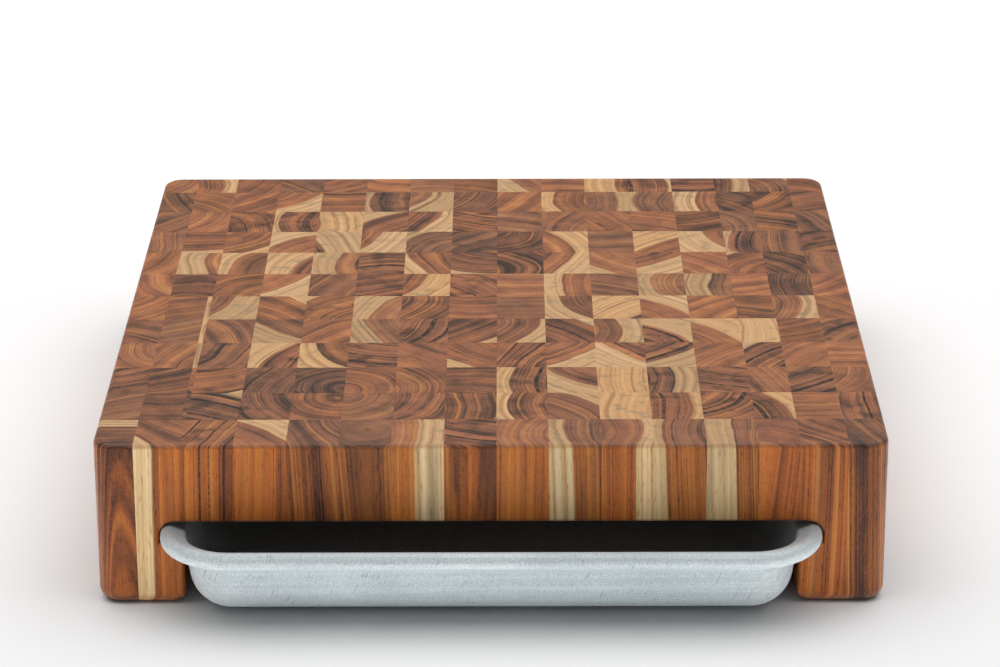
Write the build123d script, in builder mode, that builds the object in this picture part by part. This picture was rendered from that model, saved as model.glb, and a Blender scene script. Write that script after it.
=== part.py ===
from build123d import *
import os
from math import ceil, cos, radians, sin

# An end-grain cutting board on two legs, with one sheet pan under it that
# slides like a drawer: the pan's rolled rim runs on a ledge in each leg.
#
# Frame: +Z up, +X to the right, -Y towards the cook. The origin lies on the
# table, under the middle of the whole object with the pan pushed in.
# All sizes are millimetres.

os.makedirs("parts", exist_ok=True)

# -------------------------------------------------------------------- the pan
pan_width = 241.3
pan_length = 330.2
pan_height = 29.8
pan_corner_radius = 26.5
sheet_thickness = 1.0
rim_wire_diameter = 4.2
rim_flange = 3.96
flange_slope = 25.0
rim_bend_radius = 2.0
wall_draft = 9.5
floor_edge_radius = 14.5

# ------------------------------------------------------------------ the board
slab_thickness = 30.6
leg_width = 32.2
plan_corner_radius = 8.0
top_edge_radius = 2.0
foot_edge_radius = 5.0
mouth_edge_radius = 1.2
groove_corner_radius = 6.0

# ----------------------------------------------------------- the glued sticks
row_count = 12
back_row_depth = 20.0
front_row_depth = 24.0
leg_outer_stick = 15.0
slab_stick = 19.05
least_closing_share = 0.05
filler_thickness = 1.8
filler_row_count = 5
rows_behind_filler_count = 6

# ------------------------------------------------------------ places and fits
pan_overhang = 27.0
back_margin = 1.8
table_clearance = 1.6
ceiling_clearance = 1.5
side_clearance = 0.75
ledge_clearance = 0.3
wall_clearance = 0.45
wire_clearance = 0.1

# --------------------------------------------------------- worked out: the pan
# The middle surface of the sheet is what is drawn, with half the thickness on
# each side. The profile's own origin is the middle of the rim wire, with x
# out of the pan and y up. It runs from under the rim, round the wire, down the
# sloping flange, down the wall and round to the edge of the flat floor.
half_sheet = sheet_thickness / 2
draft = radians(wall_draft)
slope = radians(flange_slope)
curl_radius = rim_wire_diameter / 2 + wire_clearance + half_sheet
bead_radius = curl_radius + half_sheet
wire_height = table_clearance + pan_height - bead_radius

bend_radius = rim_bend_radius - half_sheet
flange_end = Vector(
    -curl_radius * sin(slope) - rim_flange * cos(slope),
    curl_radius * cos(slope) - rim_flange * sin(slope),
)
wall_top = flange_end + bend_radius * Vector(sin(slope) - cos(draft), sin(draft) - cos(slope))
floor_bend_radius = floor_edge_radius - half_sheet
floor_line = table_clearance + half_sheet - wire_height
wall_foot = floor_line + floor_bend_radius * (1 - sin(draft))
wall_length = (wall_top.Y - wall_foot) / cos(draft)
floor_edge = wall_top.X - wall_length * sin(draft) - floor_bend_radius * cos(draft)

rim_path_width = pan_width - 2 * bead_radius
rim_path_length = pan_length - 2 * bead_radius
rim_path_radius = pan_corner_radius - bead_radius

# ------------------------------------------------------- worked out: the board
# The board is made round the pan: the tunnel under it clears the pan by the
# fits above, and the ledges stop just short of the pan's wall.
ledge_height = wire_height - bead_radius - ledge_clearance
ceiling_height = table_clearance + pan_height + ceiling_clearance
board_height = ceiling_height + slab_thickness
groove_face_x = pan_width / 2 + side_clearance
wall_at_ledge = (
    rim_path_width / 2
    + wall_top.X
    + half_sheet / cos(draft)
    - (wall_top.Y + wire_height - ledge_height) * sin(draft) / cos(draft)
)
leg_face_x = wall_at_ledge + wall_clearance
board_width = 2 * (leg_face_x + leg_width)
board_depth = pan_length - pan_overhang + back_margin

# The front face stands back from the pan's front by the overhang, and the
# whole object's depth is centred on the origin.
front_y = -(board_depth - pan_overhang) / 2
back_y = front_y + board_depth
board_centre_y = (front_y + back_y) / 2
pan_centre_y = front_y - pan_overhang + pan_length / 2


# ================================================================== the block
# The board is glued up first and machined as one block: its corners and
# edges are rounded, and one tunnel is cut through it from front to back. The
# tunnel's upper part is wider, so that the pan's rim has a ledge on each side.
with BuildPart() as block:
    with BuildSketch(Plane.XY):
        with Locations((0, board_centre_y)):
            RectangleRounded(board_width, board_depth, plan_corner_radius)
    extrude(amount=board_height)
    with BuildSketch(Plane.XZ):
        with Locations((0, ledge_height)):
            groove = Rectangle(
                2 * groove_face_x,
                ceiling_height - ledge_height,
                align=(Align.CENTER, Align.MIN),
            )
        fillet(groove.vertices().group_by(Axis.Y)[-1], groove_corner_radius)
        Rectangle(2 * leg_face_x, ledge_height, align=(Align.CENTER, Align.MIN))
    extrude(amount=board_depth, both=True, mode=Mode.SUBTRACT)
    cut_edges = block.edges(Select.LAST)
    mouths = cut_edges.filter_by(Axis.Y, reverse=True) - block.faces().group_by(Axis.Z)[0].edges()
    fillet(mouths, mouth_edge_radius)
    fillet(block.faces().sort_by(Axis.Z)[-1].edges(), top_edge_radius)
    fillet(block.faces().group_by(Axis.Z)[0].edges(), foot_edge_radius)


# ================================================================= the sticks
# Each stick stands on end and runs the full height of a leg or of the slab.
# Rows are counted from the back. The first and last rows are narrower, as
# they were trimmed. The slab's last column is a closing stick: it takes what
# is left once the others have their stock width, and a sliver under the least
# share of a stick is left on its neighbour.
row_pitch = (board_depth - back_row_depth - front_row_depth) / (row_count - 2)
row_edges = [back_y]
row_edges += [back_y - back_row_depth - row_pitch * n for n in range(row_count - 1)]
row_edges += [front_y]

leg_joint_x = board_width / 2 - leg_outer_stick
slab_columns = ceil(2 * leg_face_x / slab_stick - least_closing_share)
slab_edges = [slab_stick * n - leg_face_x for n in range(slab_columns)]
slab_edges += [leg_face_x]


def between(edges):
    """Neighbouring edges in pairs, from each stick's one side to its other."""
    return list(zip(edges[:-1], edges[1:]))


def sticks(x_span, y_span):
    """What the machining leaves of the stick between these glue lines."""
    with BuildPart() as piece:
        add(block.part)
        with BuildSketch(Plane.XY):
            with Locations((sum(x_span) / 2, sum(y_span) / 2)):
                Rectangle(abs(x_span[1] - x_span[0]), abs(y_span[1] - y_span[0]))
        extrude(amount=board_height, mode=Mode.INTERSECT)
    return piece.solids()


def export_group(label, solids):
    """One node of separate solids, which glue alone holds together."""
    group = Compound(label=label, children=list(solids))
    export_step(group, f"parts/{label}.step")


# The left leg's inner sticks were cut thin in some rows, and a filler strip
# makes up their width.
filler_rows = range(rows_behind_filler_count, rows_behind_filler_count + filler_row_count)
fillers = []
for row, y_span in enumerate(between(row_edges)):
    left_inner_x = -leg_face_x
    if row in filler_rows:
        left_inner_x -= filler_thickness
        fillers += sticks((left_inner_x, -leg_face_x), y_span)

    left_edges = [-board_width / 2, -leg_joint_x, left_inner_x]
    right_edges = [leg_face_x, leg_joint_x, board_width / 2]
    for place, edges in (
        ("left_leg_row", left_edges),
        ("slab_row", slab_edges),
        ("right_leg_row", right_edges),
    ):
        pieces = [s for x_span in between(edges) for s in sticks(x_span, y_span)]
        export_group(f"{place}_{row + 1:02d}", pieces)

export_group("filler_strips", fillers)


# ==================================================================== the pan
def rim_path():
    """The closed line through the middle of the rim wire."""
    x, y = rim_path_width / 2, rim_path_length / 2
    with BuildLine(Plane.XY.offset(wire_height)) as path:
        FilletPolyline(
            (-x, pan_centre_y - y),
            (x, pan_centre_y - y),
            (x, pan_centre_y + y),
            (-x, pan_centre_y + y),
            radius=rim_path_radius,
            close=True,
        )
    return path


def rim_section(path):
    """The plane across the path's start: its x points out of the pan, its y up."""
    along = path.wire() % 0
    return Plane(
        origin=path.wire() @ 0,
        x_dir=along.cross(Vector(0, 0, 1)),
        z_dir=-along,
    )


# One profile carries the rim and the wall, and is swept once round the pan.
# The curl goes round the wire from the flange and ends facing the wall, which
# leaves the open seam under the rim.
with BuildPart() as tray_pan:
    path = rim_path()
    with BuildSketch(rim_section(path)):
        with BuildLine():
            curl = CenterArc((0, 0), curl_radius, 180, 270 + flange_slope)
            flange = Line(curl @ 1, flange_end)
            turn = 90 - flange_slope - wall_draft
            shoulder = JernArc(flange @ 1, flange % 1, bend_radius, turn)
            wall = Line(shoulder @ 1, shoulder @ 1 + (shoulder % 1) * wall_length)
            JernArc(wall @ 1, wall % 1, floor_bend_radius, wall_draft - 90)
        trace(line_width=sheet_thickness)
    sweep(path=path.wire())
    with BuildSketch(Plane.XY.offset(table_clearance)):
        with Locations((0, pan_centre_y)):
            RectangleRounded(
                rim_path_width + 2 * floor_edge,
                rim_path_length + 2 * floor_edge,
                rim_path_radius + floor_edge,
            )
    extrude(amount=sheet_thickness)
tray_pan.part.label = "tray_pan"
export_step(tray_pan.part, "parts/tray_pan.step")

# A steel wire inside the curl stiffens the rim.
with BuildPart() as rim_wire:
    path = rim_path()
    with BuildSketch(rim_section(path)):
        Circle(rim_wire_diameter / 2)
    sweep(path=path.wire())
rim_wire.part.label = "rim_wire"
export_step(rim_wire.part, "parts/rim_wire.step")

print(f"board {board_width:.2f} x {board_depth:.2f} x {board_height:.2f}")
print(f"tunnel {2 * leg_face_x:.2f} wide, ledge {ledge_height:.2f}, ceiling {ceiling_height:.2f}")
print(f"closing stick {slab_edges[-1] - slab_edges[-2]:.2f}")
print(f"corner radius left at the floor's edge {rim_path_radius + floor_edge:.2f}")
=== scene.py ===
# %% [markdown]
# # An end-grain cutting board with a sheet pan for a drawer
#
# The real object is a thick board glued up from teak sticks that stand on end.
# Two legs lift it off the table, and a tunnel runs under it from front to
# back. A rimmed aluminium sheet pan slides in that tunnel like a drawer.
#
# The sizes and the moving parts come from a CAD model, which is loaded first.
# This script dresses that model: it shapes what the CAD meshes can't carry,
# and gives every surface its material.

import math

import bmesh
import bpy
import numpy as np
from mathutils import Matrix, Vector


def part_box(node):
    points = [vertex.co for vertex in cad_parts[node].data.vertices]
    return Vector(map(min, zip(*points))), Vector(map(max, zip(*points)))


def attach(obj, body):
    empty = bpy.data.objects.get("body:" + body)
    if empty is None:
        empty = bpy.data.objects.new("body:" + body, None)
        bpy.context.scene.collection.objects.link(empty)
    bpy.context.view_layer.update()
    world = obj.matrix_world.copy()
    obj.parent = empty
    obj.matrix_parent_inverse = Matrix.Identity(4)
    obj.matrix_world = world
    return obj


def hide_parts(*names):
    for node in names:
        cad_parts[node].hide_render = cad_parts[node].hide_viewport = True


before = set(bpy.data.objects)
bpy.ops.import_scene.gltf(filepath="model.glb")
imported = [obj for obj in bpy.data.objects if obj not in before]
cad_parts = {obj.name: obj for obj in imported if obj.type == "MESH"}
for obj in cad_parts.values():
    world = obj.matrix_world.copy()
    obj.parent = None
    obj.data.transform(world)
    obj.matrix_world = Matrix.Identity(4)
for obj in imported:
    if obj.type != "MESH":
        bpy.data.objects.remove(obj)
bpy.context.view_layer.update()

# %% [markdown]
# ## Sizes
#
# Blender works in metres here, so a length in millimetres is multiplied by MM.
# The sizes could all be typed in, but then they could drift away from the CAD
# model, so every place that it knows is read from its boxes. Only what the
# boxes don't show is typed: the width of a stick, the radii that the router
# left, and the tunnel's stepped section.

# %% The board and its rows
MM = 0.001
ROW_NAMES = [f"{n:02d}" for n in range(1, 13)]
slab_boxes = [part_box(f"slab_row_{n}") for n in ROW_NAMES]
half_width = -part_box("left_leg_row_01")[0].x
leg_face = slab_boxes[0][1].x
board_height = slab_boxes[0][1].z
ceiling = slab_boxes[0][0].z
row_edges = np.array([slab_boxes[0][1].y] + [low.y for low, high in slab_boxes])
back_y, front_y = row_edges[0], row_edges[-1]
print(f"{len(row_edges) - 1} rows, {(back_y - front_y) / MM:.1f} mm from back to front")

# %% The glue lines across a row
SLAB_STICK = 19.05 * MM
LEG_OUTER_STICK = 15 * MM
slab_glue = np.append(np.arange(-leg_face, leg_face - SLAB_STICK / 2, SLAB_STICK), leg_face)
leg_glue = half_width - LEG_OUTER_STICK
filler_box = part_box("filler_strips")
filler_x = filler_box[0].x
print(len(slab_glue) - 1, "slab sticks in each row, and two sticks in each leg")

# %% The tunnel and the router's radii
RIM_BEAD = 6.4 * MM
LEDGE_CLEARANCE = 0.3 * MM
SIDE_CLEARANCE = 0.75 * MM
GROOVE_RADIUS = 6 * MM
CORNER_RADIUS = 8 * MM
TOP_RADIUS = 2 * MM
FOOT_RADIUS = 5 * MM
MOUTH_RADIUS = 1.2 * MM
pan_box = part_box("tray_pan")
ledge = pan_box[1].z - RIM_BEAD - LEDGE_CLEARANCE
groove_face = pan_box[1].x + SIDE_CLEARANCE
print(f"ledge at {ledge / MM:.2f} mm, groove face at {groove_face / MM:.2f} mm")

# %% [markdown]
# ## Colours and nodes
#
# Colours are written as the sRGB hex values that a colour picker shows, but a
# renderer adds up light in linear values, so one function turns hex to linear.
# Nodes could each be added in five lines of their own. One function that adds
# a node, sets it and links it keeps a material short enough to read as a
# recipe. In the recipes, a name often holds a node's inputs on one line and
# the node itself on the next. Where a node's sockets share a name, they go by
# number: a Mix node takes its two colours at 6 and 7 and gives the mixed one
# at 2, and a Multiply Add gives 0 times 1 plus 2.


# %% Hex colours
def linear(code):
    """An sRGB hex colour as linear red, green, blue and alpha."""
    srgb = np.array([int(code[i : i + 2], 16) for i in (1, 3, 5)]) / 255
    light = np.where(srgb <= 0.04045, srgb / 12.92, ((srgb + 0.055) / 1.055) ** 2.4)
    return (*light.tolist(), 1.0)


print("mid grey is", round(linear("#808080")[0], 3), "in linear light")


# %% Adding a node
COVER = {"data_type": "RGBA"}
TINT = {"data_type": "RGBA", "blend_type": "MULTIPLY"}


def plug_in(node, inputs):
    """Sets a node's inputs, by name or number. Each is a value, or a node or socket to link
    from, and a node stands for its first output."""
    for key, value in inputs.items():
        if isinstance(value, bpy.types.Node):
            value = value.outputs[0]
        if isinstance(value, bpy.types.NodeSocket):
            node.id_data.links.new(value, node.inputs[key])
        else:
            node.inputs[key].default_value = value


def add_node(material, kind, settings, inputs):
    """Adds one shader node with its settings and links. The setting called stops gives a
    colour ramp its pairs of place and hex colour, and the others are set by name."""
    node = material.node_tree.nodes.new("ShaderNode" + kind)
    for name, value in settings.items():
        if name != "stops":
            setattr(node, name, value)
            continue
        elements = node.color_ramp.elements
        while len(elements) < len(value):
            elements.new(1.0)
        for element, (place, code) in zip(elements, value):
            element.position, element.color = place, linear(code)
    plug_in(node, inputs)
    return node


def new_material(name):
    """An empty node material and its Principled shader."""
    material = bpy.data.materials.new(name)
    material.use_nodes = True
    return material, material.node_tree.nodes["Principled BSDF"]


print("helpers for materials ready")

# %% [markdown]
# ## The camera
#
# The photograph is taken from the front with a long lens, a little above the
# board, which is why the sides hardly show and the front edge is almost level.
# A camera could be moved about by eye until it looks right. This one was
# fitted instead, so that the board's corners fall where they do in the
# photograph.

# %% Place the camera
LENS = 126.11
SENSOR_WIDTH = 36
FAR_ENOUGH = 20
CAMERA_PLACE = (5.528 * MM, -1305.914 * MM, 553.323 * MM)
PITCH_DOWN, YAW, ROLL = (math.radians(angle) for angle in (20.954, 0.1033, -0.1587))

camera_data = bpy.data.cameras.new("front_camera")
camera_data.lens = LENS
camera_data.sensor_width = SENSOR_WIDTH
camera_data.clip_end = FAR_ENOUGH
camera = bpy.data.objects.new("front_camera", camera_data)
bpy.context.scene.collection.objects.link(camera)
turn = (
    Matrix.Rotation(YAW, 4, "Z")
    @ Matrix.Rotation(math.pi / 2 - PITCH_DOWN, 4, "X")
    @ Matrix.Rotation(ROLL, 4, "Z")
)
camera.location = CAMERA_PLACE
camera.rotation_euler = turn.to_euler()
bpy.context.scene.camera = camera
bpy.context.scene.view_settings.view_transform = "Standard"
print("camera at", [round(v, 3) for v in camera.location])

# %% [markdown]
# ## The floor
#
# The object stands on white studio paper. Paper is uncoated, so it is matt and
# has no highlight, and a Diffuse shader is all that it needs.
#
# In the photograph the paper in front throws light up onto the board's front,
# which grows darker downwards, where the pan hides the paper from it. A lamp
# lying on the floor would do that too, but it would glow under the pan when
# the pan is pulled out. So the paper itself gives back more light, and only to
# the first bounce: on later ones, light would heap up between pan and paper.

# %% White paper
FLOOR_SIZE = 8.0
FLOOR_BOUNCE = 1.8
FIRST_BOUNCE, NEAR_ENOUGH = 1.0, 0.5

floor_mesh = bpy.data.meshes.new("studio_floor")
corners = FLOOR_SIZE / 2 * np.array([[-1, -1, 0], [1, -1, 0], [1, 1, 0], [-1, 1, 0]])
floor_mesh.from_pydata(corners.tolist(), [], [(0, 1, 2, 3)])
floor = bpy.data.objects.new("studio_floor", floor_mesh)
bpy.context.scene.collection.objects.link(floor)

paper, shader = new_material("white_paper_sweep")
bounces = add_node(paper, "LightPath", {}, {}).outputs["Ray Depth"]
is_first = {0: bounces, 1: FIRST_BOUNCE, 2: NEAR_ENOUGH}
is_first = add_node(paper, "Math", {"operation": "COMPARE"}, is_first)
lift = (FLOOR_BOUNCE, FLOOR_BOUNCE, FLOOR_BOUNCE, 1.0)
white = {"Factor": is_first, 6: linear("#f8f8f8"), 7: lift}
white = add_node(paper, "Mix", COVER, white).outputs[2]
matt = add_node(paper, "BsdfDiffuse", {}, {"Color": white})
plug_in(paper.node_tree.nodes["Material Output"], {"Surface": matt})
floor_mesh.materials.append(paper)
print(f"floor {FLOOR_SIZE:.0f} m square")

# %% [markdown]
# ## The light
#
# One very wide softbox hangs overhead, its middle a little behind the board,
# and faces straight down, so the top is evenly lit and the shadow is soft.
# Small lamps would give the satin wood hard highlights that the photograph
# doesn't show. A dim world fills what the softbox can't reach.

# %% Softbox and world
SOFTBOX_SIZE = (4.0, 3.6)
SOFTBOX_PLACE = (0, 0.75, 2.0)
SOFTBOX_WATTS = 78
WORLD_STRENGTH = 0.2

softbox_data = bpy.data.lights.new("softbox", "AREA")
softbox_data.shape = "RECTANGLE"
softbox_data.size, softbox_data.size_y = SOFTBOX_SIZE
softbox_data.energy = SOFTBOX_WATTS
softbox = bpy.data.objects.new("softbox", softbox_data)
softbox.location = SOFTBOX_PLACE
softbox.visible_camera = False
bpy.context.scene.collection.objects.link(softbox)

world = bpy.data.worlds.new("studio")
world.use_nodes = True
plug_in(
    world.node_tree.nodes["Background"], {"Color": linear("#ffffff"), "Strength": WORLD_STRENGTH}
)
bpy.context.scene.world = world
print("softbox", SOFTBOX_SIZE, "m, at", SOFTBOX_PLACE)

# %% [markdown]
# ## How each stick was sawn
#
# Every stick is a piece of a teak log standing on end. Its top shows rings
# round the log's heart, and if it was sawn near the bark it shows pale
# sapwood too. Each stick could be given a picture of its own, but a stick that
# is described by where its log's heart is, and how far out the sapwood begins,
# shows the right grain on its top and on its sides at once.
#
# The chart has one word per stick, row by row from the back. The small letter
# is the heartwood: o orange, r red, b brown, d dark, k dark with black
# streaks, t tan. A compass point and a number give the side that the bark was
# on, north being the board's back, and how many millimetres from the stick's
# middle the sapwood begins. A star means that the heart itself is there.

# %% The lay-up chart
LAYUP = """
o tE3 r r r o o d rWSW1 r kW-5 kE8 k kE1 rENE8 r
d o r rSE0 r kW7 rESE-4 d o rW4 oE5 rW7 rW0 k d r
r o k kW7 kE-8 rNW6 rESE2 k o o r r d o k r
o rS11 rSE10 oNW4 kENE-9 rESE-4 rNW8 k d oENE1 r rNW-1 rWSW-4 kW6 r k
t tW-3 rWNW3 tWNW-4 oW-1 k rWSW5 dSSW11 d rESE1 oSW9 rSE1 o rNW12 d b
o d r oSE0 r k rESE-3 k o oW4 o oW4 rW-1 o d o
o r rESE-3 rNE10 kNW12 tWNW0 d r r dWSW2 dNW-13 rNE3 r r oE3 o
r r r rSW2 o oWSW2 k dSE12 rESE5 kNE11 rE1 kNE0 oNE0 tE-12 d k
t o k kWNW1 rWSW1 k r rSW10 k rSE2 kSW-2 kSE1 r kNW10 t o
k d kSSE12 k d*SE13 r*SW13 r*WSW30 d kW4 rSW1 oW-15 kE1 k o k r
r d kNNE12 k d*NE13 r*NW13 r*WNW30 d kW4 bNE6 oW-15 kE6 k kENE4 r k
dN6 rSW10 k oNE3 r b*N2 oE0 k o rW3 oE5 rW7 oW-1 r r d
"""
layup = [row.split() for row in LAYUP.strip().splitlines()]
print(len(layup), "rows of", {len(row) for row in layup}, "sticks")

# %% Reading a word of the chart
WINDS = "E ENE NE NNE N NNW NW WNW W WSW SW SSW S SSE SE ESE".split()
SHADES = {"o": 0.6, "t": 0.6, "r": 0.53, "b": 0.56, "k": 0.5, "d": 0.43}
STREAKS = {"k": 1.0, "d": 0.5, "r": 0.35, "b": 0.3, "o": 0.25, "t": 0.25}
SHADE_SPREAD = 0.12
# In millimetres from the heart: where sapwood begins, where a stick without
# any was sawn, and a sapwood radius that no point of the board reaches.
LOG_RADIUS = (32, 75)
PLAIN_DISTANCE = (22, 90)
ALL_HEARTWOOD = 400
chance = np.random.default_rng(12)


def sawn_stick(word, middle):
    """A word of the chart as numbers, in millimetres: the heart's x and y, a seed for
    the stick's own irregularities, the sapwood's radius, the shade and the streaks."""
    letter, bark = word[0], word[1:]
    middle = np.array(middle) / MM
    seed = chance.uniform(0, 1000)
    side = bark.strip("*-0123456789") or chance.choice(WINDS)
    angle = 2 * math.pi * WINDS.index(side) / len(WINDS)
    towards_bark = np.array([math.cos(angle), math.sin(angle)])
    place = float(bark.strip("*" + "".join(WINDS)) or 0)
    if "*" in bark:
        heart, sapwood = middle + towards_bark * place, ALL_HEARTWOOD
    elif bark:
        sapwood = chance.uniform(*LOG_RADIUS)
        heart = middle - towards_bark * (sapwood - place)
    else:
        heart, sapwood = middle - towards_bark * chance.uniform(*PLAIN_DISTANCE), ALL_HEARTWOOD
    shade = SHADES[letter] + (seed % 1 - 0.5) * SHADE_SPREAD
    return (*heart, seed, sapwood, shade, STREAKS[letter])


print("the bark can lie towards any of", len(WINDS), "winds")

# %% [markdown]
# ## Teak: where a point lies in its log
#
# A board's figure isn't painted on. It is the log's own layers, cut through.
# A flat pattern on each face would break at every edge, so this one is solid:
# any point in space knows how far it is from its log's heart, and its wood
# follows from that. The end grain on top and the long grain on the front then
# meet at the edge, as they do in real wood.
#
# No log is quite round or upright. So noise moves the point about, which makes
# the rings wander, and each log leans its own way below the board's top.

# %% Logs that lean
# Sideways over height. A noise colour runs from 0 to 1 round its middle.
LEAN = 0.06
MIDDLE = (0.5, 0.5, 0.5)


def leaning(wood, point, seed):
    """How far the log has moved sideways at this height: the depth below the board's top, times
    a random direction of up to LEAN for each stick."""
    way = add_node(wood, "TexWhiteNoise", {"noise_dimensions": "1D"}, {"W": seed}).outputs["Color"]
    way = add_node(wood, "VectorMath", {"operation": "SUBTRACT"}, {0: way, 1: MIDDLE})
    depth = add_node(wood, "SeparateXYZ", {}, {0: point}).outputs["Z"]
    depth = add_node(wood, "Math", {"operation": "SUBTRACT"}, {0: depth, 1: board_height / MM})
    depth = add_node(wood, "Math", {"operation": "MULTIPLY"}, {0: depth, 1: 2 * LEAN})
    return add_node(wood, "VectorMath", {"operation": "SCALE"}, {0: way, "Scale": depth})


print(f"a log leans at most {LEAN * board_height / MM:.1f} mm over the board's height")

# %% Rings that wander
# Each wander's width and length in millimetres, across and along the log, and
# how far it reaches: a broad one bends the rings, and a small one roughens them.
WANDERS = ((34, 260, 4.0), (9, 90, 0.45))


def wandering(wood, own, width, length, reach):
    """Noise of this width and length, as a shift to either side of nothing."""
    stretch = (1 / width, 1 / width, 1 / length)
    at = add_node(wood, "VectorMath", {"operation": "MULTIPLY"}, {0: own, 1: stretch})
    drift = add_node(wood, "TexNoise", {}, {"Vector": at, "Scale": 1.0, "Detail": 1.0})
    drift = {0: drift.outputs["Color"], 1: MIDDLE}
    drift = add_node(wood, "VectorMath", {"operation": "SUBTRACT"}, drift)
    return add_node(wood, "VectorMath", {"operation": "SCALE"}, {0: drift, "Scale": 2 * reach})


print("rings wander by about", [reach / 2 for width, length, reach in WANDERS], "mm")

# %% The distance from the heart
SEED_SHIFT = (1.0, 1.7, 0.6)
LEVEL = (1, 1, 0)


def log_place(wood):
    """Three sockets: the point in millimetres, shifted by the seed so that no two sticks share
    their noise; its level distance from the log's heart, once the log has leaned and the rings
    have wandered; and the seed. The heart and the seed come from the mesh."""
    point = add_node(wood, "TexCoord", {}, {}).outputs["Object"]
    point = add_node(wood, "VectorMath", {"operation": "SCALE"}, {0: point, "Scale": 1 / MM})
    heart = add_node(wood, "Attribute", {"attribute_name": "log_heart"}, {}).outputs["Vector"]
    heart = add_node(wood, "SeparateXYZ", {}, {0: heart})
    seed = heart.outputs["Z"]
    shift = {0: SEED_SHIFT, "Scale": seed}
    shift = add_node(wood, "VectorMath", {"operation": "SCALE"}, shift)
    own = add_node(wood, "VectorMath", {"operation": "ADD"}, {0: point, 1: shift})

    centre = add_node(wood, "CombineXYZ", {}, {"X": heart.outputs["X"], "Y": heart.outputs["Y"]})
    out = add_node(wood, "VectorMath", {"operation": "SUBTRACT"}, {0: point, 1: centre})
    moves = [leaning(wood, point, seed)] + [wandering(wood, own, *wander) for wander in WANDERS]
    for move in moves:
        out = add_node(wood, "VectorMath", {"operation": "ADD"}, {0: out, 1: move})
    out = add_node(wood, "VectorMath", {"operation": "MULTIPLY"}, {0: out, 1: LEVEL})
    radius = add_node(wood, "VectorMath", {"operation": "LENGTH"}, {0: out}).outputs["Value"]
    return own.outputs[0], radius, seed


print("each stick's noise is shifted by its seed times", SEED_SHIFT, "mm")

# %% [markdown]
# ## Teak: bands, patches, growth lines and pores
#
# The figure is made of a few patterns. Bands follow the rings, because they
# read only the distance from the heart. Patches lie anywhere, and are long
# along the trunk, as stains and pores are. A growth line is sharp on its outer
# side, because each year's pale early wood starts at once after the dark late
# wood of the year before. A wave texture would draw even rings, and noise
# alone has no sharp side, so the years are counted along the radius instead.
#
# A pixel of the render is about a third of a millimetre. Teak's pores are
# narrower than that, so they are drawn about twice as wide as they are.


# %% Bands and patches
def bands(wood, grain, width, detail, shift):
    """Soft bands of about this width in millimetres along the log's radius, from 0 to 1. Detail
    adds that many finer bands, and the shift keeps one use of this apart from the others."""
    at = add_node(wood, "Math", {"operation": "DIVIDE"}, {0: grain["radius"], 1: width})
    at = {0: grain["seed"], 1: shift, 2: at}
    at = add_node(wood, "Math", {"operation": "MULTIPLY_ADD"}, at)
    one_way = {"noise_dimensions": "1D"}
    return add_node(wood, "TexNoise", one_way, {"W": at, "Scale": 1.0, "Detail": detail})


def patches(wood, grain, size):
    """Cloudy patches of this width, depth and height in millimetres, from 0 to 1."""
    stretch = tuple(1 / length for length in size)
    at = add_node(wood, "VectorMath", {"operation": "MULTIPLY"}, {0: grain["own"], 1: stretch})
    return add_node(wood, "TexNoise", {}, {"Vector": at, "Scale": 1.0, "Detail": 2.0})


print("two kinds of pattern: along the radius, and anywhere in the wood")

# %% Growth lines
# A teak tree adds a few millimetres a year. Soft bands make good and bad
# years, by moving the count of years on by up to PACE_YEARS. A band's numbers
# are its width in millimetres, its detail and its shift.
YEAR_WIDTH = 3.0
PACE_BAND, PACE_YEARS = (9.0, 0.0, 1.9), 4.0
LATE_WOOD, YEAR_END = 0.4, 0.93
LATE_WOOD_CURVE = 2.5
STRENGTH_BAND = (4.0, 1.0, 2.3)
FADING_SIZE = (8, 8, 70)


def growth_lines(wood, grain):
    """One line per year: it darkens slowly outwards and ends at once where the next year
    begins. The years differ in width and in how dark their line is, and lines fade in places."""
    pace = bands(wood, grain, *PACE_BAND)
    years = add_node(wood, "Math", {"operation": "DIVIDE"}, {0: grain["radius"], 1: YEAR_WIDTH})
    years = {0: pace, 1: PACE_YEARS, 2: years}
    years = add_node(wood, "Math", {"operation": "MULTIPLY_ADD"}, years)
    season = add_node(wood, "Math", {"operation": "FRACT"}, {0: years})
    late = {0: season, "From Min": LATE_WOOD, "From Max": YEAR_END}
    late = add_node(wood, "MapRange", {}, late)
    late = add_node(wood, "Math", {"operation": "POWER"}, {0: late, 1: LATE_WOOD_CURVE})
    edge = add_node(wood, "MapRange", {}, {0: season, "From Min": 1.0, "From Max": YEAR_END})
    lines = add_node(wood, "Math", {"operation": "MULTIPLY"}, {0: late, 1: edge})

    strength = bands(wood, grain, *STRENGTH_BAND)
    strength = add_node(wood, "MapRange", {}, {0: strength, "From Min": 0.35, "From Max": 0.7})
    fading = {0: patches(wood, grain, FADING_SIZE), "From Min": 0.38, "From Max": 0.62}
    fading = add_node(wood, "MapRange", {}, {**fading, "To Min": 0.1, "To Max": 1.2})
    for share in (strength, fading):
        lines = add_node(wood, "Math", {"operation": "MULTIPLY"}, {0: lines, 1: share})
    return lines


print("one growth line about every", YEAR_WIDTH, "mm")

# %% What a stick knows about its wood
# Teak's pores are about 0.25 mm wide and show for a few millimetres along the
# grain. A face's tilt is how far its normal points up or down: 0 on a side and
# 1 on the top.
PORE_SIZE = (0.45, 0.45, 5.0)
LONG_GRAIN_TILT, END_GRAIN_TILT = 0.12, 0.5


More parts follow.
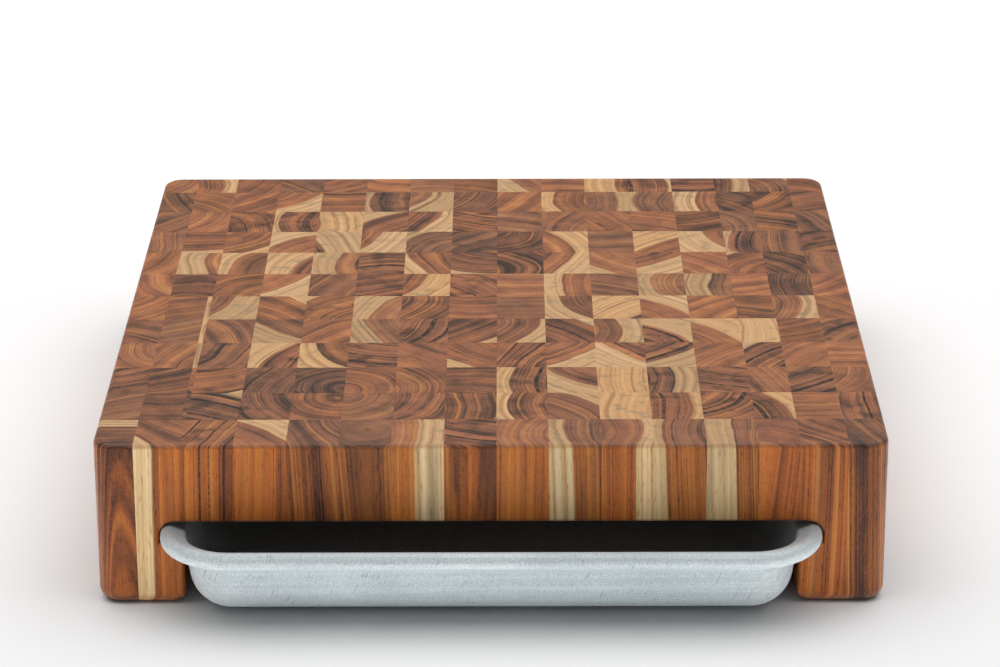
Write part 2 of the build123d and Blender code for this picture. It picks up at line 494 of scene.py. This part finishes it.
def read_grain(wood):
    """Every socket that the teak's colours are worked out from, by name. The wood is end grain
    by its tilt, and its sapwood's radius, shade and streaks come from the mesh."""
    own, radius, seed = log_place(wood)
    grain = {"own": own, "radius": radius, "seed": seed}
    sawn = add_node(wood, "Attribute", {"attribute_name": "log_wood"}, {}).outputs["Vector"]
    sawn = add_node(wood, "SeparateXYZ", {}, {0: sawn})
    for name, axis in (("sapwood", "X"), ("shade", "Y"), ("streaks", "Z")):
        grain[name] = sawn.outputs[axis]

    tilt = add_node(wood, "TexCoord", {}, {}).outputs["Normal"]
    tilt = add_node(wood, "SeparateXYZ", {}, {0: tilt}).outputs["Z"]
    tilt = add_node(wood, "Math", {"operation": "ABSOLUTE"}, {0: tilt})
    tilt = {0: tilt, "From Min": LONG_GRAIN_TILT, "From Max": END_GRAIN_TILT}
    grain["is_end"] = add_node(wood, "MapRange", {}, tilt)

    grain["lines"] = growth_lines(wood, grain)
    pores = patches(wood, grain, PORE_SIZE)
    grain["pores"] = add_node(wood, "MapRange", {}, {0: pores, "From Min": 0.58, "From Max": 0.75})
    grain["tint"] = add_node(wood, "TexWhiteNoise", {"noise_dimensions": "1D"}, {"W": seed})
    return grain


print("pores drawn", PORE_SIZE[0], "mm wide and", PORE_SIZE[2], "mm long")

# %% [markdown]
# ## Teak: heartwood
#
# Teak's heartwood runs from orange to nearly black. Oil darkens it and brings
# out the contrast. End grain soaks up more oil than long grain does, so the
# top is darker and greyer, and the sides are a warmer orange.
#
# One colour and one darker colour would look like plastic. So the bands,
# patches, lines and pores are first added up to one number, the tone, and a
# ramp turns that into colour, with one ramp for end grain and one for long
# grain. Then three marks that only some wood has are laid over it: a golden
# glow in a few bands, brown blotches, and black mineral streaks.

# %% One tone for the heartwood
# Bands: width in millimetres, detail, shift, and their share in the tone. The
# finest real grain is under a pixel wide, and is drawn at 0.4 mm so as to show.
TONE_BANDS = ((6.0, 1.0, 3.1, 0.64), (1.0, 1.0, 5.3, 0.42), (0.4, 0.0, 4.1, 0.28))
# Patches: size in millimetres, and share.
TONE_PATCHES = (((1.3, 1.3, 1.0), 0.2), ((12, 12, 60), 0.5))
HEART_LINE_DEPTH, HEART_PORE_DEPTH = 0.26, 0.22


def heart_tone(wood, grain):
    """From 0, dark, to 1, pale: the stick's own shade, plus the share of each pattern above or
    below its middle, less what growth lines and pores take away."""
    patterns = [(bands(wood, grain, *band), share) for *band, share in TONE_BANDS]
    patterns += [(patches(wood, grain, size), share) for size, share in TONE_PATCHES]
    tone = grain["shade"]
    for pattern, share in patterns:
        offset = add_node(wood, "Math", {"operation": "SUBTRACT"}, {0: pattern, 1: 0.5})
        offset = {0: offset, 1: share, 2: tone}
        tone = add_node(wood, "Math", {"operation": "MULTIPLY_ADD"}, offset)
    for mark, depth in ((grain["lines"], HEART_LINE_DEPTH), (grain["pores"], HEART_PORE_DEPTH)):
        tone = add_node(wood, "Math", {"operation": "MULTIPLY_ADD"}, {0: mark, 1: -depth, 2: tone})
    return tone


print(len(TONE_BANDS), "bands and", len(TONE_PATCHES), "sizes of patch make up the tone")

# %% Marks in the heartwood
GLOW_BAND = (2.0, 1.0, 6.1)
BLOTCH_SIZE, BLOTCH_BAND = (9, 7, 80), (0.9, 2.0, 2.9)
FLECK_SIZE, BLACK_BAND = (2.2, 2.2, 0.7), (3.2, 2.0, 7.7)


def golden_glow(wood, grain):
    """How much of the glow shows: only the top of a band of noise."""
    glow = {0: bands(wood, grain, *GLOW_BAND), "From Min": 0.64, "From Max": 0.76}
    return add_node(wood, "MapRange", {}, {**glow, "To Max": 0.6})


def brown_blotches(wood, grain):
    """Patches, times the stick's streaks, times fine bands, so that a blotch follows the rings."""
    blotch = {0: patches(wood, grain, BLOTCH_SIZE), "From Min": 0.52, "From Max": 0.68}
    blotch = add_node(wood, "MapRange", {}, {**blotch, "To Max": 0.8})
    depth = {0: bands(wood, grain, *BLOTCH_BAND), "From Min": 0.3, "From Max": 0.6}
    depth = add_node(wood, "MapRange", {}, {**depth, "To Min": 0.45})
    depth = add_node(wood, "Math", {"operation": "MULTIPLY"}, {0: grain["streaks"], 1: depth})
    both = {"operation": "MULTIPLY", "use_clamp": True}
    return add_node(wood, "Math", both, {0: blotch, 1: depth})


def black_streaks(wood, grain):
    """Narrow bands, broken into flecks, times the stick's streaks."""
    black = {0: bands(wood, grain, *BLACK_BAND), "From Min": 0.6, "From Max": 0.67}
    black = add_node(wood, "MapRange", {}, black)
    flecks = {0: patches(wood, grain, FLECK_SIZE), "From Min": 0.35, "From Max": 0.6}
    flecks = add_node(wood, "MapRange", {}, {**flecks, "To Min": 0.55})
    black = add_node(wood, "Math", {"operation": "MULTIPLY"}, {0: black, 1: flecks})
    both = {"operation": "MULTIPLY", "use_clamp": True}
    return add_node(wood, "Math", both, {0: black, 1: grain["streaks"]})


print("blotches about", BLOTCH_SIZE[2], "mm long, flecks", FLECK_SIZE[2], "mm long")

# %% The heartwood's colour
HEART_PLACES = (0, 0.25, 0.5, 0.72, 1)
HEART_END = tuple(zip(HEART_PLACES, ("#281b16", "#553a2b", "#915f44", "#b2764e", "#d29a64")))
HEART_LONG = tuple(zip(HEART_PLACES, ("#190d06", "#56290d", "#a65b1c", "#c8792a", "#e0a24e")))
HEART_TINTS = ((0, "#fff4dc"), (0.5, "#fff2ea"), (1, "#e2e6e8"))
GOLD, BROWN, BLACK = "#c4803f", "#352318", "#1b130f"


def end_or_long(wood, grain, factor, end_stops, long_stops):
    """A colour for the end grain and one for the long grain, at the same place on their ramps."""
    on_sides = add_node(wood, "ValToRGB", {"stops": long_stops}, {0: factor})
    on_top = add_node(wood, "ValToRGB", {"stops": end_stops}, {0: factor})
    colours = {"Factor": grain["is_end"], 6: on_sides, 7: on_top}
    return add_node(wood, "Mix", COVER, colours).outputs[2]


def tinted(wood, grain, colour, tints):
    """The colour times the stick's own tint, so that no two neighbours match."""
    tint = add_node(wood, "ValToRGB", {"stops": tints}, {0: grain["tint"]})
    return add_node(wood, "Mix", TINT, {"Factor": 1.0, 6: colour, 7: tint}).outputs[2]


def heartwood_colour(wood, grain):
    """The tone's colour with the stick's tint, under the glow, the blotches and the streaks."""
    colour = end_or_long(wood, grain, heart_tone(wood, grain), HEART_END, HEART_LONG)
    colour = tinted(wood, grain, colour, HEART_TINTS)
    for share, code in (
        (golden_glow(wood, grain), GOLD),
        (brown_blotches(wood, grain), BROWN),
        (black_streaks(wood, grain), BLACK),
    ):
        laid = {"Factor": share, 6: colour, 7: linear(code)}
        colour = add_node(wood, "Mix", COVER, laid).outputs[2]
    return colour


print("heartwood's end grain runs from", HEART_END[0][1], "to", HEART_END[-1][1])

# %% [markdown]
# ## Teak: sapwood
#
# The outer layer of the log, just under the bark, is sapwood. It is cream, and
# its boundary with the heartwood is sharp, which is what makes the board look
# lively. It has the same rings and pores, only fainter, and grey-green stains
# where oil went deep. It could be mixed in by noise, but then it would ignore
# the log, so it begins at a radius that each stick brings along.

# %% The sapwood's colour
SAP_END = ((0, "#7e5c42"), (0.36, "#c29a70"), (0.52, "#d2aa7e"), (0.8, "#deb88c"))
SAP_LONG = ((0, "#98623a"), (0.36, "#d6b27e"), (0.52, "#e8ca9a"), (0.8, "#f2deb8"))
SAP_TINTS = ((0, "#fff0dc"), (0.5, "#fffcf6"), (1, "#dcd6ca"))
SAP_BAND = (2.2, 2.0, 9.1)
SAP_LINE_DEPTH, SAP_PORE_DEPTH = 0.35, 0.34
STAIN_SIZE, STAIN = (7, 5, 90), "#8c7e62"


def sapwood_colour(wood, grain):
    """Soft bands less growth lines and pores, turned to cream and tinted, under the stains."""
    pale = bands(wood, grain, *SAP_BAND)
    for mark, depth in ((grain["lines"], SAP_LINE_DEPTH), (grain["pores"], SAP_PORE_DEPTH)):
        pale = add_node(wood, "Math", {"operation": "MULTIPLY_ADD"}, {0: mark, 1: -depth, 2: pale})
    cream = tinted(wood, grain, end_or_long(wood, grain, pale, SAP_END, SAP_LONG), SAP_TINTS)
    stain = {0: patches(wood, grain, STAIN_SIZE), "From Min": 0.55, "From Max": 0.72}
    stain = add_node(wood, "MapRange", {}, {**stain, "To Max": 0.6})
    laid = {"Factor": stain, 6: cream, 7: linear(STAIN)}
    return add_node(wood, "Mix", COVER, laid).outputs[2]


print("sapwood's end grain runs from", SAP_END[0][1], "to", SAP_END[-1][1])

# %% [markdown]
# ## Teak: the finish
#
# The board is sawn, glued, sanded smooth and rubbed with oil. Oil soaks in and
# leaves no film, so the wood has a low, broad, satin shine and no mirror, and
# the open pores stay as fine pits that are rougher than the wood round them.
# A clear coat would look varnished, so there is none. Wood's usual reflection
# is turned down a little, to match the photograph.

# %% Sawn, sanded and oiled
# Sapwood and heartwood mix this many millimetres to either side of their
# boundary. The next two are roughness, and then comes the shine's strength.
SAPWOOD_EDGE = 0.3
SANDED, OPEN_PORE = 0.46, 0.64
OILED_SHINE = 0.3
# Pores are drawn wider than they are, so they are drawn shallower too.
PORE_DEPTH = 0.06 * MM


def teak_material(name):
    """Oiled teak. It reads each stick's own numbers from the mesh."""
    wood, shader = new_material(name)
    grain = read_grain(wood)
    outside = {0: grain["radius"], 1: grain["sapwood"]}
    outside = add_node(wood, "Math", {"operation": "SUBTRACT"}, outside)
    is_sapwood = {0: outside, "From Min": -SAPWOOD_EDGE, "From Max": SAPWOOD_EDGE}
    is_sapwood = add_node(wood, "MapRange", {}, is_sapwood)
    heartwood, sapwood = heartwood_colour(wood, grain), sapwood_colour(wood, grain)
    colour = {"Factor": is_sapwood, 6: heartwood, 7: sapwood}
    colour = add_node(wood, "Mix", COVER, colour).outputs[2]

    gloss = {0: grain["pores"], "To Min": SANDED, "To Max": OPEN_PORE}
    gloss = add_node(wood, "MapRange", {}, gloss)
    pits = {"Height": grain["pores"], "Strength": 0.5, "Distance": PORE_DEPTH}
    pits = add_node(wood, "Bump", {"invert": True}, pits)
    plug_in(shader, {"Base Color": colour, "Roughness": gloss, "Normal": pits})
    shader.inputs["Specular IOR Level"].default_value = OILED_SHINE
    return wood


teak = teak_material("oiled_teak")
print("teak has", len(teak.node_tree.nodes), "nodes")

# %% [markdown]
# ## The board's shape, one row at a time
#
# Sixteen sticks are glued side by side into a row, twelve rows are glued into
# a block, and only then is the block machined. A bevel modifier on a box could
# round it, but the faces would lose track of their sticks. So each row here is
# one closed surface. Its outline is the board seen from the front, with a
# point at every glue line, and the outline is carried along the row's depth.
# The router is one formula: the square corner between two faces is drawn onto
# a quarter circle, which works for every edge at any radius.


# %% The router's formula
def round_over(a, b, radius):
    """Depths a and b below two faces that meet square, after a round-over bit of this radius.
    Inside the corner square, a point moves towards the bit's centre until squares round that
    centre have become circles: its offsets are scaled by the larger over their length."""
    u, v = np.maximum(radius - a, 0), np.maximum(radius - b, 0)
    length = np.hypot(u, v)
    pull = np.divide(np.maximum(u, v), length, out=np.ones_like(length), where=length > 0)
    return np.where(u > 0, radius - u * pull, a), np.where(v > 0, radius - v * pull, b)


a, b = round_over(np.zeros(3), np.array([0, 0.5, 1]), 1.0)
print("a square corner of radius 1 becomes", np.round(a, 3), np.round(b, 3))


# %% The router's steps
# Places that are less than a micrometre apart are the same place.
SAME = 1e-6
PLACE_DIGITS = 7


def even_steps(radius, count):
    """Places along one side of the corner square that the router moves evenly onto the arc:
    the tangents of equal angles, taken from the far end of the radius."""
    return radius * (1 - np.tan(np.linspace(np.pi / 4, 0, count)))


def between(places, low, high):
    """The places from low to high, sorted, each one once."""
    places = np.unique(np.round(places, PLACE_DIGITS))
    return places[(places > low - SAME) & (places < high + SAME)]


TOP_STEPS = even_steps(TOP_RADIUS, 4)
FOOT_STEPS = even_steps(FOOT_RADIUS, 6)
CORNER_STEPS = even_steps(CORNER_RADIUS, 8)
MOUTH_STEPS = even_steps(MOUTH_RADIUS, 4)
GROOVE_POINTS = 7
print("steps round a corner, in mm:", np.round(CORNER_STEPS / MM, 2))

# %% [markdown]
# ## The outline from the front
#
# The board's front is two legs and a slab with a stepped tunnel between them.
# It could be drawn as a list of corners, but the faces need a point at every
# glue line, so each flat is a run of points worked out from the glue lines.
#
# The tunnel's mouth is eased by a small bit that follows the tunnel's walls.
# So each point also carries the way in which that bit cuts into the wood
# there: a wall is cut back sideways, the roof upwards, and a corner both ways.
# Points outside the tunnel carry nought.


# %% Runs of points
def run(x, z, cut_x=0.0, cut_z=0.0):
    """Points of the outline as four rows: x, z, and the bit's way sideways and upwards."""
    return np.stack(np.broadcast_arrays(*np.atleast_1d(x, z, cut_x, cut_z))).astype(float)


def into_wall(x):
    """The bit's way sideways: away from the middle at the tunnel's wall, and nought beyond."""
    return np.where(np.abs(x) < leg_face + SAME, np.sign(x), 0.0)


print("at the right wall and 5 mm beyond it:", into_wall(leg_face + np.array([0, 5 * MM])))


# %% The whole outline
def outline(glue):
    """The square outline as x, z and the way the tunnel's mouth is cut back, counterclockwise
    from the right foot. Every flat has a point at each glue line and at each router step."""
    steps = np.concatenate([half_width - CORNER_STEPS, leg_face + FOOT_STEPS])
    across = between(np.concatenate([glue, steps, -steps]), -half_width, half_width)
    up = between(np.concatenate([FOOT_STEPS, board_height - TOP_STEPS, [ledge]]), 0, board_height)
    turn = np.linspace(0, np.pi / 2, GROOVE_POINTS)
    arc_x = groove_face - GROOVE_RADIUS * (1 - np.cos(turn))
    arc_z = ceiling - GROOVE_RADIUS * (1 - np.sin(turn))
    wall = between(up, 0, ledge)
    wall_cut = np.where(wall > ledge - SAME, -1.0, 0.0)
    right_foot = between(across, leg_face, half_width)
    left_foot = between(across, -half_width, -leg_face)
    right_ledge = between(across, leg_face, groove_face)[::-1]
    left_ledge = between(across, -groove_face, -leg_face)[::-1]
    roof = between(across, -arc_x[-1], arc_x[-1])
    runs = [
        run(half_width, up),
        run(across[::-1], board_height),
        run(-half_width, up[::-1]),
        run(left_foot, 0.0, into_wall(left_foot)),
        run(-leg_face, wall, -1.0, wall_cut),
        run(left_ledge, ledge, into_wall(left_ledge), -1.0),
        run(-groove_face, ledge, -1.0, -1.0),
        run(-arc_x, arc_z, -np.cos(turn), np.sin(turn)),
        run(roof, ceiling, 0.0, 1.0),
        run(arc_x[::-1], arc_z[::-1], np.cos(turn[::-1]), np.sin(turn[::-1])),
        run(groove_face, ledge, 1.0, -1.0),
        run(right_ledge, ledge, into_wall(right_ledge), -1.0),
        run(leg_face, wall[::-1], 1.0, wall_cut[::-1]),
        run(right_foot, 0.0, into_wall(right_foot)),
    ]
    points = np.concatenate(runs, axis=1)
    moved = np.hypot(*(points[:2] - np.roll(points[:2], 1, axis=1)))
    return points[:, moved > SAME]


print("the outline of a row has", outline(slab_glue).shape[1], "points")


# %% The machined surface
def machined(points, depth, inset):
    """Where the router leaves the square outline at this depth behind the end face. inset walks
    over the end face instead: each point has moved in by that share of its own edge's radius.
    The tunnel's mouth is rounded first. At the top and the foot, a point goes in as deep as
    the rounding there, which shrinks the corner square round its centre, and the square is
    then drawn onto the upright corner's circle. Last come the legs' inner foot edges."""
    x, z, cut_x, cut_z = points
    x = np.clip(x, CORNER_RADIUS * inset - half_width, half_width - CORNER_RADIUS * inset)
    z = np.clip(z, FOOT_RADIUS * inset, board_height - TOP_RADIUS * inset)
    mouth = np.hypot(cut_x, cut_z) > 0
    eased = np.full_like(x, MOUTH_RADIUS * inset)
    cut, behind = round_over(eased, np.full_like(x, depth), MOUTH_RADIUS)
    x, z = x + cut_x * cut * mouth, z + cut_z * cut * mouth
    behind = np.where(mouth, behind, depth)

    side = half_width - np.abs(x)
    for level, radius in ((board_height, TOP_RADIUS), (0.0, FOOT_RADIUS)):
        plan = np.minimum(side, behind)
        plan_cut, below = round_over(plan, np.abs(level - z), radius)
        z = np.abs(level - below)
        room = np.maximum(CORNER_RADIUS - plan, SAME)
        scale = np.where(plan < CORNER_RADIUS, (CORNER_RADIUS - plan_cut) / room, 1.0)
        side, behind = (
            np.where(d < CORNER_RADIUS, CORNER_RADIUS - (CORNER_RADIUS - d) * scale, d)
            for d in (side, behind)
        )
    side, behind = round_over(side, behind, CORNER_RADIUS)
    x = np.where(half_width - np.abs(x) < CORNER_RADIUS, np.sign(x) * (half_width - side), x)

    inner, low = round_over(np.abs(x) - leg_face, z, FOOT_RADIUS)
    leg = np.abs(x) > leg_face - SAME
    return np.where(leg, np.sign(x) * (leg_face + inner), x), behind, np.where(leg, low, z)


lowest = machined(outline(slab_glue), 0.0, 1.0)[2].min()
print(f"on the end face, the wood starts {lowest / MM:.2f} mm above the table")

# %% [markdown]
# ## From loops of points to a row
#
# A row inside the board is two loops of points, one at each glue line, with a
# strip of faces between them. The first and last rows also have the board's
# own back or front, where the loops follow the router round the edge and over
# the end face. Each stick's faces are told apart by the glue lines on both
# sides of them. Both ends are closed with one face per stick, so that a row is
# closed even where the next one hides it.

# %% Loops along a row
# Depths behind the end face, from deep to none, and then shares of the way
# over it, a little past where the last rounding ends. A glue joint is one
# loop, taken a metre behind the end face, where no rounding of it reaches.
BARREL = between(np.concatenate([CORNER_STEPS, FOOT_STEPS, TOP_STEPS, MOUTH_STEPS]), 0, 1)[::-1]
OVER_THE_END = np.linspace(0, 1.25, 8)[1:]
END_WALK = [(depth, 0.0) for depth in BARREL] + [(0.0, share) for share in OVER_THE_END]
GLUE_JOINT = [(1.0, 0.0)]


def row_loops(points, y_back, y_front):
    """Loops of points from a row's back to its front: x and z as machined, and y from the end
    face inwards. The front's loops come in the order of the walk, and the back's in reverse."""
    loops = []
    for y, is_end, way in ((y_back, y_back == back_y, -1), (y_front, y_front == front_y, 1)):
        rings = []
        for depth, inset in END_WALK if is_end else GLUE_JOINT:
            x, behind, z = machined(points, depth, inset)
            rings.append(np.column_stack([x, y + way * behind * is_end, z]))
        loops += rings[::-1] if way == -1 else rings
    return loops


print("the board's front and back have", len(END_WALK), "loops each")


# %% Faces between the loops
def inside(x, z, stick):
    """True where a point of the outline lies within the stick's own rectangle."""
    x_from, x_to, z_from, z_to, numbers = stick
    return (x > x_from - SAME) & (x < x_to + SAME) & (z > z_from - SAME) & (z < z_to + SAME)


def row_faces(points, loop_count, sticks):
    """Faces as lists of points, and the stick that each face belongs to. A face joins two
    neighbours on one loop to the same two on the next, and goes by the middle between them."""
    count = points.shape[1]
    here = np.arange(count)
    after = np.roll(here, -1)
    first = count * np.arange(loop_count - 1)[:, None]
    then = first + count
    quads = np.stack([first + here, first + after, then + after, then + here], axis=-1)
    faces = quads.reshape(-1, 4).tolist()

    x, z = points[:2]
    owner = np.zeros(count, int)
    for k, stick in enumerate(sticks):
        owner[inside((x + x[after]) / 2, (z + z[after]) / 2, stick)] = k
    ends = [here[inside(x, z, stick)] for stick in sticks]
    last = count * (loop_count - 1)
    faces += [end[::-1].tolist() for end in ends] + [(last + end).tolist() for end in ends]
    each = np.arange(len(sticks))
    return faces, np.concatenate([np.tile(owner, loop_count - 1), each, each])


first_stick = (slab_glue[0], slab_glue[1], ceiling, board_height, None)
corner_points = inside(*outline(slab_glue)[:2], first_stick).sum()
print("the end face of the first slab stick has", corner_points, "points")

# %% Build a row
CREASE = math.radians(35)


def build_row(name, y_back, y_front, sticks):
    """One closed row. sticks holds (x from, x to, z from, z to, numbers of its wood). The
    numbers go to the faces as two attributes of three, which the teak reads."""
    points = outline(np.array([edge for stick in sticks for edge in stick[:2]]))
    loops = row_loops(points, y_back, y_front)
    faces, stick_of = row_faces(points, len(loops), sticks)
    mesh = bpy.data.meshes.new(name)
    mesh.from_pydata(np.concatenate(loops).tolist(), [], faces)
    numbers = np.array([stick[4] for stick in sticks])[stick_of]
    for attribute, columns in (("log_heart", numbers[:, :3]), ("log_wood", numbers[:, 3:])):
        layer = mesh.attributes.new(attribute, "FLOAT_VECTOR", "FACE")
        layer.data.foreach_set("vector", columns.ravel())

    # Where two roundings meet, neighbouring points fall together, and are merged.
    shaped = bmesh.new()
    shaped.from_mesh(mesh)
    bmesh.ops.remove_doubles(shaped, verts=shaped.verts, dist=SAME)
    bmesh.ops.dissolve_degenerate(shaped, edges=shaped.edges, dist=SAME)
    shaped.to_mesh(mesh)
    shaped.free()
    mesh.shade_smooth()
    mesh.set_sharp_from_angle(angle=CREASE)
    mesh.materials.append(teak)
    row = bpy.data.objects.new(name, mesh)
    bpy.context.scene.collection.objects.link(row)
    return row


print(f"edges sharper than {math.degrees(CREASE):.0f} degrees stay crisp")

# %% [markdown]
# ## Glue up the twelve rows
#
# A row's sticks run from the left leg over the slab to the right leg. In some
# rows the left leg's inner stick was cut thin, and a filler strip makes up its
# width above and below the groove. Each row stands for the CAD model's leg and
# slab pieces of that row. Rows are kept apart instead of joined into one mesh,
# as they are on the real board, where the glue lines between rows can be seen.

# %% Glue up
FILLER_WORDS = {"07": "oW-20", "08": "oW-20", "09": "oW-20", "10": "k", "11": "k"}


def row_sticks(words, y_middle, filler_word):
    """The row's sticks from left to right, and then its filler strips, where it has them."""
    inner = filler_x if filler_word else -leg_face
    starts = [-half_width, -leg_glue, *slab_glue, leg_glue]
    ends = [-leg_glue, inner, *slab_glue[1:], leg_glue, half_width]
    lows = [0.0, 0.0] + [ceiling] * (len(slab_glue) - 1) + [0.0, 0.0]
    sticks = [
        (start, end, low, board_height, sawn_stick(word, ((start + end) / 2, y_middle)))
        for start, end, low, word in zip(starts, ends, lows, words)
    ]
    if filler_word:
        filler_wood = sawn_stick(filler_word, (-leg_face, y_middle))
        for low, high in ((0.0, ledge), (ceiling, board_height)):
            sticks.append((inner, -leg_face, low, high, filler_wood))
    return sticks


rows = []
for row_name, words, y_back, y_front in zip(ROW_NAMES, layup, row_edges[:-1], row_edges[1:]):
    y_middle = (y_back + y_front) / 2
    has_filler = filler_box[0].y < y_middle < filler_box[1].y
    sticks = row_sticks(words, y_middle, FILLER_WORDS[row_name] if has_filler else "")
    row = build_row(f"board_row_{row_name}", y_back, y_front, sticks)
    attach(row, "board")
    stands_for = [f"{part}_row_{row_name}" for part in ("left_leg", "slab", "right_leg")]
    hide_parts(*stands_for, *(["filler_strips"] if has_filler else []))
    rows.append(row)
print(len(rows), "rows,", sum(len(row.data.polygons) for row in rows), "faces")

# %% [markdown]
# ## The sheet pan
#
# The pan is pressed from rolled aluminium sheet and left as it came from the
# mill, with no coating. That gives the eye a pale, silvery metal with a soft,
# broad shine and no clear reflection. The wire inside its rim is steel, drawn
# through a die, which leaves it smoother and darker. Both shapes are the CAD
# model's own, and only their materials are new.
#
# A plain metal shader would look too perfect. On real sheet, rolling leaves
# faint lines along it, the dull oxide is speckled, and handling clouds it and
# scratches it. Lines, speckle and clouds change both how pale and how glossy
# the metal is. Low, wide dents bend its reflections, as in any pan that has
# been used.

# %% Sizes of the metal's marks
# All in millimetres. Real rolling lines are about a tenth of a millimetre
# apart and the speckle is finer still, so both are drawn a few pixels wide.
# Scratches are turned by these angles, so that they lie across the rolling.
ROLLING = (120, 1.2, 1.2)
SPECKLE = (0.6, 0.6, 0.6)
CLOUDS = (30, 30, 30)
WEAR_SHARES = ((ROLLING, 0.35), (SPECKLE, 0.8), (CLOUDS, 0.25))
SCRATCHES, SCRATCH_TURN = (9, 4, 0.4), (0.25, -1.25, 0.0)
SCRATCH_GREY = "#848b8e"
DENTS = 18
DENT_DEPTH = 0.5
GLOSS_CHANGE = 0.08
print("scratches about", SCRATCHES[0], "mm long and", SCRATCHES[2], "mm wide")


# %% Wear and scratches
def worn(metal, place):
    """From 0, bright, to 1, dull: the share of each noise, added up and stretched."""
    wear = 0.0
    for size, share in WEAR_SHARES:
        stretch = tuple(1 / (length * MM) for length in size)
        at = add_node(metal, "VectorMath", {"operation": "MULTIPLY"}, {0: place, 1: stretch})
        pattern = add_node(metal, "TexNoise", {}, {"Vector": at, "Scale": 1.0, "Detail": 3.0})
        pattern = {0: pattern, 1: share, 2: wear}
        wear = add_node(metal, "Math", {"operation": "MULTIPLY_ADD"}, pattern)
    return add_node(metal, "MapRange", {}, {0: wear, "From Min": 0.5, "From Max": 0.9})


def scratched(metal, place):
    """Where a scratch is: the top of a noise that is stretched into thin, turned slivers."""
    size = tuple(length * MM for length in SCRATCHES)
    turned = {"Vector": place, "Rotation": SCRATCH_TURN, "Scale": size}
    turned = add_node(metal, "Mapping", {"vector_type": "TEXTURE"}, turned)
    scratch = add_node(metal, "TexNoise", {}, {"Vector": turned, "Scale": 1.0, "Detail": 0.0})
    scratch = {0: scratch, "From Min": 0.76, "From Max": 0.82, "To Max": 0.5}
    return add_node(metal, "MapRange", {}, scratch)


print("wear is made of", len(WEAR_SHARES), "noises, from", SPECKLE[0], "to", ROLLING[0], "mm long")


# %% Bare metal
def pan_metal(name, bright, dull, roughness):
    """Bare metal between two colours. Where it is dull it is also rougher."""
    metal, shader = new_material(name)
    place = add_node(metal, "TexCoord", {}, {}).outputs["Object"]
    wear = worn(metal, place)
    colour = {"Factor": wear, 6: linear(bright), 7: linear(dull)}
    colour = add_node(metal, "Mix", COVER, colour).outputs[2]
    colour = {"Factor": scratched(metal, place), 6: colour, 7: linear(SCRATCH_GREY)}
    colour = add_node(metal, "Mix", COVER, colour).outputs[2]

    gloss = {0: wear, "To Min": roughness - GLOSS_CHANGE, "To Max": roughness + GLOSS_CHANGE}
    gloss = add_node(metal, "MapRange", {}, gloss)
    dents = {"Vector": place, "Scale": 1 / (DENTS * MM), "Detail": 1.0}
    dents = add_node(metal, "TexNoise", {}, dents)
    dents = {"Height": dents, "Strength": 0.6, "Distance": DENT_DEPTH * MM}
    dents = add_node(metal, "Bump", {}, dents)
    plug_in(shader, {"Base Color": colour, "Roughness": gloss, "Normal": dents})
    shader.inputs["Metallic"].default_value = 1.0
    return metal


print("each metal has a bright colour, a dull colour and a roughness")

# %% Aluminium and steel
# Bare sheet is usually half as rough as this, but the pan reflects nothing clearly.
aluminium = pan_metal("rolled_aluminium", "#dfe5e6", "#cad1d4", 0.8)
steel = pan_metal("drawn_steel_wire", "#bcbab6", "#a3a09b", 0.35)
for node_name, metal in (("tray_pan", aluminium), ("rim_wire", steel)):
    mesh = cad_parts[node_name].data
    mesh.materials.clear()
    mesh.materials.append(metal)
print("the pan is", aluminium.name, "and its wire is", steel.name)
